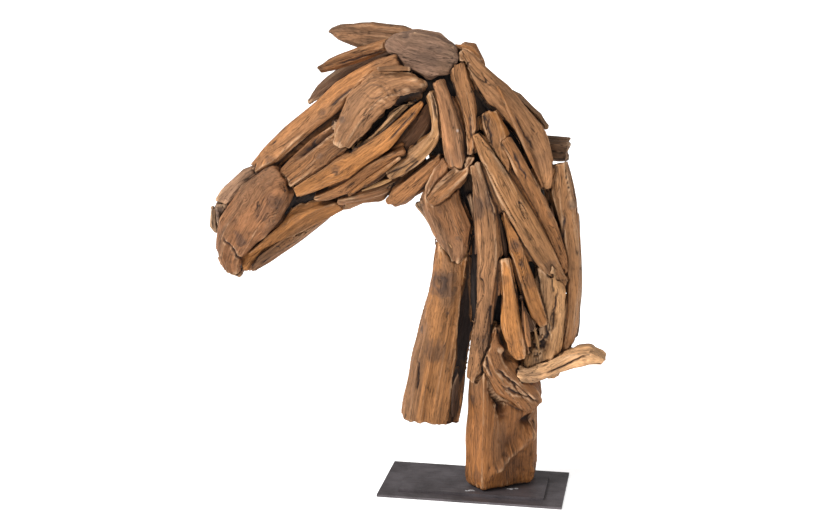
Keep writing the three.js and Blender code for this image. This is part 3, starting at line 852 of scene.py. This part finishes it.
def wood_material(name, contrast, roughness, depth):
    material, tree = blank_material(name)
    grain = add(tree, "Attribute", attribute_name="grain").outputs["Vector"]
    tint = add(tree, "Attribute", attribute_name="tint").outputs["Color"]
    bands = streak(tree, grain, BANDS, 5.0, 0.7)
    fibres = streak(tree, grain, FIBRES, 3.0, 0.65)
    clouds = streak(tree, grain, CLOUDS, 4.0, 0.65)
    where = spread(tree, streak(tree, grain, CHECKED_AREAS, 2.0, 0.5), 0.45, 0.58, 0.0, 1.0)
    lines = thin_lines(tree, grain, CHECKS, 0.022)
    checks = add(tree, "Math", {0: lines, 1: where}, operation="MULTIPLY").outputs[0]
    pores = spread(tree, streak(tree, grain, PORES, 1.0, 0.5), 0.6, 0.7, 0.0, 1.0)
    light = sum_of(
        tree,
        (spread(tree, bands, 0.32, 0.68, -1.0, 1.0), 0.38 * contrast),
        (spread(tree, fibres, 0.3, 0.7, -1.0, 1.0), 0.2 * contrast),
        (spread(tree, clouds, 0.3, 0.7, -1.0, 1.0), 0.2 * contrast),
        # The checks are darkened: painted shade in the fine cracks
        (checks, -0.72),
        (pores, -0.35 * contrast),
    )
    level = add(tree, "Math", {0: light, 1: 1.0}, operation="ADD").outputs[0]
    level = add(tree, "Math", {0: level, 1: LEAST_LIGHT}, operation="MAXIMUM").outputs[0]
    height = sum_of(tree, (bands, 1.0), (fibres, 0.5), (clouds, 0.8), (checks, -1.0), (pores, -0.5))
    bump = add(tree, "Bump", {"Strength": 1.0, "Distance": depth, "Height": height})
    finish = {
        "Base Color": multiplied(tree, tint, level),
        "Roughness": spread(tree, bands, 0.3, 0.7, roughness + 0.1, roughness - 0.08),
        "Specular IOR Level": 0.3,
        "Normal": bump.outputs[0],
    }
    shader = add(tree, "BsdfPrincipled", finish)
    add(tree, "OutputMaterial", {"Surface": shader.outputs[0]})
    return material


def two_tones(tree, value, dark, dark_at, bright, bright_at):
    """A colour that runs from a dark tone to a bright one as a value rises."""
    tones = add(tree, "ValToRGB", {"Fac": value})
    ends = tones.color_ramp.elements
    ends[0].position = dark_at
    ends[0].color = (*linear(dark), 1)
    ends[1].position = bright_at
    ends[1].color = (*linear(bright), 1)
    return tones.outputs[0]


def steel_material(name, dark, bright):
    """Dull dark steel with clouds, specks and scuffs."""
    material, tree = blank_material(name)
    place = add(tree, "TexCoord").outputs["Object"]
    clouds = streak(tree, place, (14, 14, 14), 5.0, 0.65)
    specks = streak(tree, place, (420, 420, 420), 2.0, 0.6)
    scuffs = streak(tree, place, (18, 260, 40), 3.0, 0.7)
    shade = sum_of(tree, (clouds, 0.6), (specks, 0.25), (scuffs, 0.35))
    bump = add(tree, "Bump", {"Strength": 0.5, "Distance": 0.0004, "Height": specks})
    finish = {
        "Base Color": two_tones(tree, shade, dark, 0.42, bright, 0.78),
        "Metallic": 0.55,
        "Roughness": spread(tree, clouds, 0.3, 0.7, 0.62, 0.42),
        "Normal": bump.outputs[0],
    }
    shader = add(tree, "BsdfPrincipled", finish)
    add(tree, "OutputMaterial", {"Surface": shader.outputs[0]})
    return material


# ---- the wood ----
# Each slot's contrast, roughness and depth of bump in metres
WOOD_LOOK = {
    "orange_teak": (1.0, 0.62, 0.0018),
    "brown_teak": (1.1, 0.66, 0.0019),
    "grey_teak": (0.9, 0.7, 0.0017),
    "pale_root": (0.9, 0.66, 0.0018),
    "dark_teak": (1.2, 0.74, 0.0020),
    "blackened_wood": (0.8, 0.8, 0.0024),
}
# How the names of pieces on the far side start
FAR = ("far_", "neck_under", "back_strip", "mane_under")


def voxel_of(name):
    if name.endswith("inner_wood"):
        return INNER_VOXEL
    if name.startswith(FAR):
        return FAR_VOXEL
    return NEAR_VOXEL


def thinned(mesh, hidden, share):
    """The mesh with fewer faces, most of all where it is hidden between pieces."""
    holder = bpy.data.objects.new("holder", mesh)
    bpy.context.scene.collection.objects.link(holder)
    group = holder.vertex_groups.new(name="hidden")
    weights = np.round(hidden, 1)
    for level in np.unique(weights):
        group.add([int(i) for i in np.flatnonzero(weights == level)], float(level), "REPLACE")
    modifier = holder.modifiers.new("thin", "DECIMATE")
    modifier.ratio = share
    modifier.vertex_group = "hidden"
    modifier.vertex_group_factor = HIDDEN_PREFERENCE
    graph = bpy.context.evaluated_depsgraph_get()
    made = bpy.data.meshes.new_from_object(holder.evaluated_get(graph))
    bpy.data.objects.remove(holder)
    return made


def ride_root(name, mesh):
    """A new object from a mesh, on the part's body."""
    piece = bpy.data.objects.new(name, mesh)
    bpy.context.scene.collection.objects.link(piece)
    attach(piece, "root")
    return piece


def finished(name, mesh, slot, seed):
    """A plain dense mesh worn into driftwood, as a new object."""
    edges = edges_of(mesh)
    put_points(mesh, planed(name, averaged(points_of(mesh), edges, EDGE_WEAR_PASSES)))
    points = points_of(mesh)
    normals = normals_of(mesh)
    shut = averaged(closeness(points, normals), edges, SHUT_PASSES)
    g, half = grain_of(points)
    rise, crack = relief(g, half, CRACKING.get(name, 1.0), seed)
    skin = marked(name, points, normals, g, seed)
    free = ramp(1 - shut, 0.2, 0.7)
    rise = (rise + np.maximum(skin["rise"], 0)) * free + np.minimum(skin["rise"], 0)
    rise -= EROSION * ramp(shut, 0.05, 0.4)
    rise *= min(1.0, (g[:, 2].max() - g[:, 2].min()) / FULL_RELIEF_THICKNESS)
    put_points(mesh, points + normals * rise[:, None])
    points = points_of(mesh)
    ridge = ((points - averaged(points, edges, RIDGE_PASSES)) * normals_of(mesh)).sum(1)
    tint = tint_of(name, slot, g, seed, ridge, crack, shut, skin)
    colour_attribute(mesh, "tint", np.clip(tint, 0.001, 0.9))
    vector_attribute(mesh, "grain", skin["led"] + seed * 0.53)
    mesh = thinned(mesh, ramp(shut, 0.3, 0.6), KEPT_SHARE)
    mesh.shade_smooth()
    mesh.materials.clear()
    mesh.materials.append(materials[slot])
    return ride_root(name + "_wood", mesh)


def weathered(name, seed):
    """A node's stick as worn driftwood, which stands for the node."""
    mesh = remeshed(name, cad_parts[name].data.copy(), voxel_of(name))
    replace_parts(finished(name, mesh, slot_of(name), seed), name)


# ---- slivers ----
SLIVER_ROWS = 9
SLIVER_CORNERS = 8
SLIVER_TIP = 0.25  # of the full size
TIP_LENGTH = 0.06  # of the whole length
SLIVER_BEND = 0.08  # of the width
CORNER_OUT = 1.08  # as the corners stand out past the faces between them


def sliver_row(place, across, y, t, width, thick, seed):
    """The corners of a sliver's section at a share of its length."""
    swell = math.sin(math.pi * min(max(t, TIP_LENGTH), 1 - TIP_LENGTH)) ** 0.6
    size = SLIVER_TIP + (1 - SLIVER_TIP) * swell
    bend = SLIVER_BEND * width * math.sin(5 * t + seed)
    row = []
    for corner in range(SLIVER_CORNERS):
        turn = 2 * math.pi * (corner + 0.5) / SLIVER_CORNERS
        off = across * (bend + size * width / 2 * math.cos(turn) * CORNER_OUT)
        x, z = place + off
        row.append((x, y + size * thick / 2 * math.sin(turn) * CORNER_OUT, z))
    return row


def tube_faces(rows, corners):
    """The faces of a closed tube with so many rows of so many corners."""
    faces = [tuple(range(corners)), tuple(range((rows - 1) * corners, rows * corners))[::-1]]
    for row in range(rows - 1):
        for corner in range(corners):
            after = (corner + 1) % corners
            first = row * corners
            faces.append((first + corner, first + corners + corner, first + corners + after, first + after))
    return faces


def sliver(name, seed):
    """A thin stick of wood that tapers to both ends, lying on a piece."""
    host, *ends, depth, width, thick, slot = SLIVERS[name]
    a = share_of_box(host, ends[0], ends[1])
    b = share_of_box(host, ends[2], ends[3])
    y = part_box(host)[0].y + depth
    along = (b - a) / np.linalg.norm(b - a)
    across = np.array([-along[1], along[0]])
    points = []
    for row in range(SLIVER_ROWS):
        t = row / (SLIVER_ROWS - 1)
        points += sliver_row(a + (b - a) * t, across, y, t, width, thick, seed)
    plain = bpy.data.meshes.new(name)
    plain.from_pydata(points, [], tube_faces(SLIVER_ROWS, SLIVER_CORNERS))
    finished(name, remeshed(name, plain, SLIVER_VOXEL), slot, seed)


# ---- steel ----
EASED_EDGE = 0.0008
SHARP_ANGLE = 0.5  # radians between two faces whose edge is eased
# Beads of weld at the trunk's foot: shares of the way across and along the upper plate, and radius
WELD_BEADS = [(0.50, 0.12, 0.0045), (0.47, 0.10, 0.003), (0.76, 0.30, 0.004), (0.80, 0.34, 0.003)]
BEAD_SHAPE = (1.5, 0.8, 0.35)
BEAD_LUMPS = 0.35


def steel_plate(name):
    """A plate with eased edges that catch the light, which stands for the CAD plate."""
    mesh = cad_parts[name].data.copy()
    maker = bmesh.new()
    maker.from_mesh(mesh)
    corners = [e for e in maker.edges if e.calc_face_angle(0.0) > SHARP_ANGLE]
    bmesh.ops.bevel(maker, geom=corners, offset=EASED_EDGE, segments=2, affect="EDGES", profile=0.5)
    maker.to_mesh(mesh)
    maker.free()
    mesh.materials.clear()
    mesh.materials.append(steel)
    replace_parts(ride_root(name + "_steel", mesh), name)


def weld_bead(number, across, along, radius):
    """A small bead of weld on the upper plate, at a share of the plate's way across X and Y."""
    low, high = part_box("upper_plate")
    mesh = bpy.data.meshes.new("weld_bead")
    maker = bmesh.new()
    bmesh.ops.create_icosphere(maker, subdivisions=4, radius=radius)
    maker.to_mesh(mesh)
    maker.free()
    points = points_of(mesh)
    points *= 1 + BEAD_LUMPS * noise(points / radius * 1.3 + number, 70 + number)[:, None]
    points *= BEAD_SHAPE
    points += (low.x + across * (high.x - low.x), low.y + along * (high.y - low.y), high.z)
    put_points(mesh, points)
    mesh.shade_smooth()
    mesh.materials.append(bright_steel)
    ride_root(f"weld_bead_{number}", mesh)


# ---- stage ----
FLOOR_SIZE = 60.0
FLOOR_GAP = 0.0003
WHITE = (0.9, 0.9, 0.9, 1)


def build_camera():
    camera = bpy.data.objects.new("camera", bpy.data.cameras.new("camera"))
    bpy.context.scene.collection.objects.link(camera)
    camera.data.lens = LENS_MM
    camera.data.sensor_width = 36.0
    camera.location = CAMERA_AT
    toward = Vector(CAMERA_LOOKS_AT) - Vector(CAMERA_AT)
    camera.rotation_mode = "QUATERNION"
    camera.rotation_quaternion = toward.to_track_quat("-Z", "Y")
    camera.data.clip_end = 100.0
    bpy.context.scene.camera = camera


def sun(name, toward, strength, angle_deg):
    """A soft light from a direction, the same all over the stage."""
    light = bpy.data.lights.new(name, "SUN")
    light.energy = strength
    light.angle = math.radians(angle_deg)
    lamp = bpy.data.objects.new(name, light)
    lamp.rotation_mode = "QUATERNION"
    lamp.rotation_quaternion = (-Vector(toward)).to_track_quat("-Z", "Y")
    bpy.context.scene.collection.objects.link(lamp)


def build_floor():
    """A wide white floor that glows a little, so that it shows no shadow to speak of."""
    half = FLOOR_SIZE / 2
    mesh = bpy.data.meshes.new("floor")
    corners = [(-half, -half, 0), (half, -half, 0), (half, half, 0), (-half, half, 0)]
    mesh.from_pydata(corners, [], [(0, 1, 2, 3)])
    floor = bpy.data.objects.new("floor", mesh)
    bpy.context.scene.collection.objects.link(floor)
    floor.location.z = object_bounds()[0].z - FLOOR_GAP
    material, tree = blank_material("pale_floor")
    glow = {"Base Color": WHITE, "Roughness": 0.9, "Emission Color": WHITE, "Emission Strength": 0.7}
    shader = add(tree, "BsdfPrincipled", glow)
    add(tree, "OutputMaterial", {"Surface": shader.outputs[0]})
    mesh.materials.append(material)


def build_world():
    """White light from all round."""
    world = bpy.data.worlds.new("studio")
    world.use_nodes = True
    world.node_tree.nodes.clear()
    sky = add(world.node_tree, "Background", {"Color": (1, 1, 1, 1), "Strength": 0.42})
    add(world.node_tree, "OutputWorld", {"Surface": sky.outputs[0]})
    bpy.context.scene.world = world


# ---- the whole model ----
FIRST_SEED = 3
FIRST_SLIVER_SEED = 1500
SEED_STEP = 20

build_camera()
walls = all_walls()
materials = {slot: wood_material(slot + "_look", *look) for slot, look in WOOD_LOOK.items()}
steel = steel_material("dark_steel_look", (62, 57, 58), (110, 103, 106))
bright_steel = steel_material("weld_look", (110, 112, 116), (206, 206, 208))
for order, wood in enumerate(sorted(" ".join(SLOT_OF.values()).split())):
    weathered(wood, FIRST_SEED + SEED_STEP * order)
for order, thin_stick in enumerate(SLIVERS):
    sliver(thin_stick, FIRST_SLIVER_SEED + SEED_STEP * order)
for plate in ("base_plate", "upper_plate"):
    steel_plate(plate)
for order, bead in enumerate(WELD_BEADS):
    weld_bead(order + 1, *bead)
build_floor()
build_world()
sun("key", (-0.8, -0.6, 0.8), 3.3, 26)
sun("fill", (0.3, -0.9, 0.3), 0.4, 60)
bpy.context.scene.view_settings.view_transform = "Standard"
